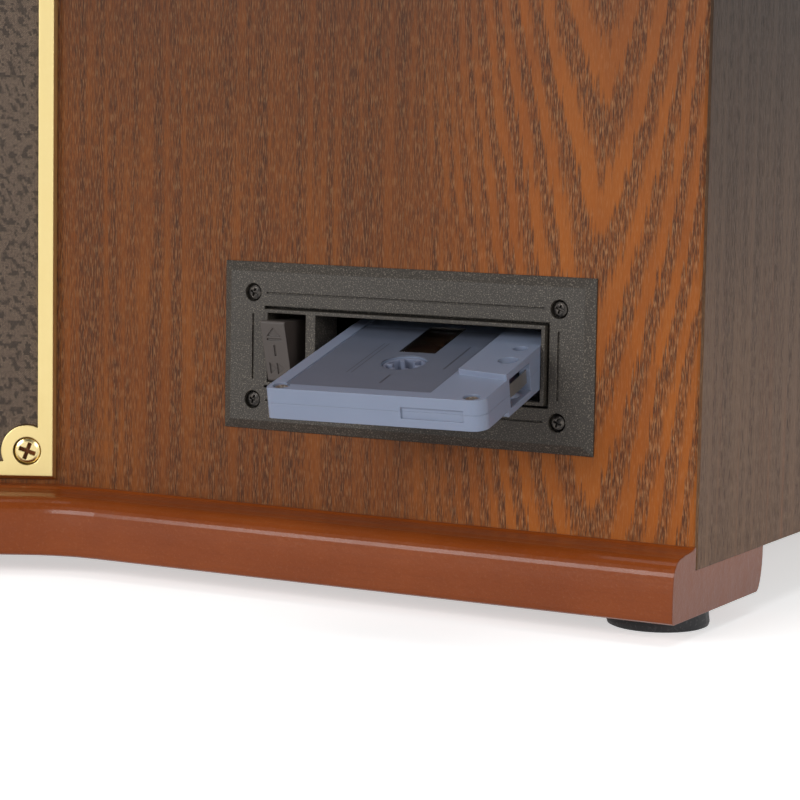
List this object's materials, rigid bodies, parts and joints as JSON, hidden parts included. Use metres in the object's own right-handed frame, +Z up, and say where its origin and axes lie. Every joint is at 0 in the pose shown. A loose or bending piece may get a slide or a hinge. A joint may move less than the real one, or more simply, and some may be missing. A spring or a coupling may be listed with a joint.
{
  "type": "stereo music centre",
  "caption": "Table-top stereo music centre in a bow-fronted wooden cabinet, with a cassette half out of its slot, a disc drawer, a cloth grille and a turntable under the lid.",
  "frame": {"origin": "centre of the bounding box on the table plane, under the feet", "axes": "+X to the right seen from the front, +Y from the front to the back, +Z up; the front faces -Y"},
  "size_m": [0.6174, 0.3902, 0.3268],
  "materials": {
    "wood_front": "stained and lacquered ash veneer with upright grain",
    "wood_side": "stained and lacquered ash veneer with upright grain",
    "wood_lid": "stained and lacquered ash veneer",
    "wood_plinth": "stained hardwood moulding under gloss lacquer",
    "wood_inner": "plain board",
    "back_board": "painted hardboard",
    "deck_board": "painted deck board, satin",
    "foot_rubber": "matt",
    "gilt": "gilt finish, satin",
    "gilt_screw": "polished",
    "grille_cloth": "woven, stepped figure",
    "basket": "black paint",
    "cone": "pressed pulp",
    "lens": "clear",
    "scale_card": "printed rules",
    "pointer": "gloss",
    "knob": "gilt finish, satin",
    "zinc": "zinc plated",
    "bezel": "fine spark-textured",
    "button": "fine satin",
    "black_screw": "blackened",
    "inner_black": "moulded",
    "shell": "satin moulding",
    "clear": "clear plastic",
    "hub": "white moulding",
    "tape": "oxide-coated film",
    "small_screw": "plain",
    "display": "smoked",
    "platter": "turned",
    "mat": "ribbed",
    "steel": "polished",
    "belt": "flat belt",
    "brass": "plated",
    "arm_metal": "polished",
    "circuit": "solder-resist green"
  },
  "bodies": {
    "case": {"front_board": "wood_front", "side_boards": "wood_side", "base_board": "wood_inner", "rear_rail": "wood_inner", "rear_panel": "back_board", "plinth": "wood_plinth", "feet": "foot_rubber", "grille_frame": "gilt", "grille_cloth": "grille_cloth", "grille_screws": "gilt_screw", "baffle": "wood_inner", "speaker_baskets": "basket", "speaker_cones": "cone", "dial_frame": "gilt", "dial_lens": "lens", "dial_scale": "scale_card", "control_pots": "zinc", "deck_bezel": "bezel", "bezel_screws": "black_screw", "deck_chassis": "zinc", "cd_bezel": "bezel", "cd_window": "display", "cd_chassis": "zinc", "top_deck": "deck_board", "spindle": "steel", "drive_belt": "belt", "motor": "zinc", "arm_base": "inner_black", "hinge_fixed": "brass", "amp_board": "circuit", "rca_sockets": "brass", "mains_inlet": "inner_black"},
    "lid_body": {"lid": "wood_lid", "hinge_lid": "brass"},
    "platter_body": {"platter": "platter", "platter_mat": "mat"},
    "pulley_body": {"motor_pulley": "brass"},
    "yoke_body": {"arm_yoke": "arm_metal"},
    "arm_body": {"tonearm": "arm_metal"},
    "cue_body": {"cue_lever": "arm_metal"},
    "speed_body": {"speed_lever": "arm_metal"},
    "volume_body": {"volume_knob": "knob"},
    "tuning_body": {"tuning_knob": "knob"},
    "function_body": {"function_knob": "knob"},
    "pointer_body": {"dial_pointer": "pointer"},
    "eject_body": {"eject_button": "button"},
    "play_body": {"key_play": "button"},
    "stop_body": {"key_stop": "button"},
    "drawer_body": {"cd_drawer": "button"},
    "cassette_body": {"cassette_top": "shell", "cassette_bottom": "shell", "cassette_window": "clear", "cassette_screws": "small_screw"},
    "hub_a_body": {"hub_a": "hub", "pack_a": "tape"},
    "hub_b_body": {"hub_b": "hub", "pack_b": "tape"},
    "reel_a_body": {"reel_a": "inner_black"},
    "reel_b_body": {"reel_b": "inner_black"},
    "switch_body": {"power_switch": "inner_black"}
  },
  "joints": [
    {"name": "lid_hinge", "type": "hinge", "parent": "case", "child": "lid_body", "pos_m": [0, 0.19035, 0.2664], "axis": [-1, 0, 0], "range_deg": [0, 75]},
    {"name": "platter_spin", "type": "hinge", "parent": "case", "child": "platter_body", "pos_m": [-0.062, 0.02205, 0.2585], "axis": [0, 0, -1], "continuous": true},
    {"name": "pulley_spin", "type": "hinge", "parent": "case", "child": "pulley_body", "pos_m": [0.016, 0.02205, 0.2585], "axis": [0, 0, -1], "continuous": true},
    {"name": "arm_swing", "type": "hinge", "parent": "case", "child": "yoke_body", "pos_m": [0.112, 0.11105, 0.256], "axis": [0, 0, -1], "range_deg": [0, 50]},
    {"name": "arm_lift", "type": "hinge", "parent": "yoke_body", "child": "arm_body", "pos_m": [0.112, 0.11105, 0.286], "axis": [-1, 0, 0], "range_deg": [0, 6.3]},
    {"name": "cue_tilt", "type": "hinge", "parent": "case", "child": "cue_body", "pos_m": [0.149, 0.08605, 0.272], "axis": [-1, 0, 0], "range_deg": [0, 40]},
    {"name": "speed_turn", "type": "hinge", "parent": "case", "child": "speed_body", "pos_m": [0.25, -0.06295, 0.256], "axis": [0, 0, 1], "range_deg": [-25, 25]},
    {"name": "volume_turn", "type": "hinge", "parent": "case", "child": "volume_body", "pos_m": [-0.06156, -0.15892, 0.209], "axis": [-0.3173, -0.9483, 0], "range_deg": [-140, 140]},
    {"name": "tuning_turn", "type": "hinge", "parent": "case", "child": "tuning_body", "pos_m": [0, -0.16894, 0.209], "axis": [0, -1, 0], "range_deg": [-540, 540]},
    {"name": "function_turn", "type": "hinge", "parent": "case", "child": "function_body", "pos_m": [0.06156, -0.15892, 0.209], "axis": [0.3173, -0.9483, 0], "range_deg": [-60, 60]},
    {"name": "pointer_sweep", "type": "hinge", "parent": "case", "child": "pointer_body", "pos_m": [0, 0.02506, 0.24], "axis": [0, 0, -1], "range_deg": [-20.2, 20.2]},
    {"name": "eject_press", "type": "slide", "parent": "case", "child": "eject_body", "axis": [0, 1, 0], "range_m": [0, 0.0035], "stiffness_N_per_m": 300},
    {"name": "play_press", "type": "slide", "parent": "case", "child": "play_body", "axis": [0, 1, 0], "range_m": [0, 0.002], "stiffness_N_per_m": 300},
    {"name": "stop_press", "type": "slide", "parent": "case", "child": "stop_body", "axis": [0, 1, 0], "range_m": [0, 0.002], "stiffness_N_per_m": 300},
    {"name": "drawer_slide", "type": "slide", "parent": "case", "child": "drawer_body", "axis": [0, -1, 0], "range_m": [0, 0.128]},
    {"name": "cassette_slide", "type": "slide", "parent": "case", "child": "cassette_body", "axis": [-0.0901, 0.9708, 0.2224], "range_m": [-0.052, 0.044]},
    {"name": "hub_a_spin", "type": "hinge", "parent": "cassette_body", "child": "hub_a_body", "pos_m": [0.22889, -0.16346, 0.0687], "axis": [0.0205, -0.2214, 0.975], "continuous": true},
    {"name": "hub_b_spin", "type": "hinge", "parent": "cassette_body", "child": "hub_b_body", "pos_m": [0.22506, -0.1222, 0.07815], "axis": [0.0205, -0.2214, 0.975], "continuous": true},
    {"name": "reel_a_spin", "type": "hinge", "parent": "case", "child": "reel_a_body", "pos_m": [0.22454, -0.11659, 0.06918], "axis": [0.0205, -0.2214, 0.975], "continuous": true},
    {"name": "reel_b_spin", "type": "hinge", "parent": "case", "child": "reel_b_body", "pos_m": [0.22071, -0.07533, 0.07863], "axis": [0.0205, -0.2214, 0.975], "continuous": true},
    {"name": "switch_rock", "type": "hinge", "parent": "case", "child": "switch_body", "pos_m": [0.2167, 0.18555, 0.0605], "axis": [1, 0, 0], "range_deg": [-8, 8]}
  ],
  "couplings": [
    {"joint": "pulley_spin", "follows": "platter_spin", "ratio": 7.1429},
    {"joint": "arm_lift", "follows": "cue_tilt", "ratio": 0.15},
    {"joint": "pointer_sweep", "follows": "tuning_turn", "ratio": 0.037037},
    {"joint": "hub_b_spin", "follows": "hub_a_spin", "ratio": 1.3871}
  ]
}
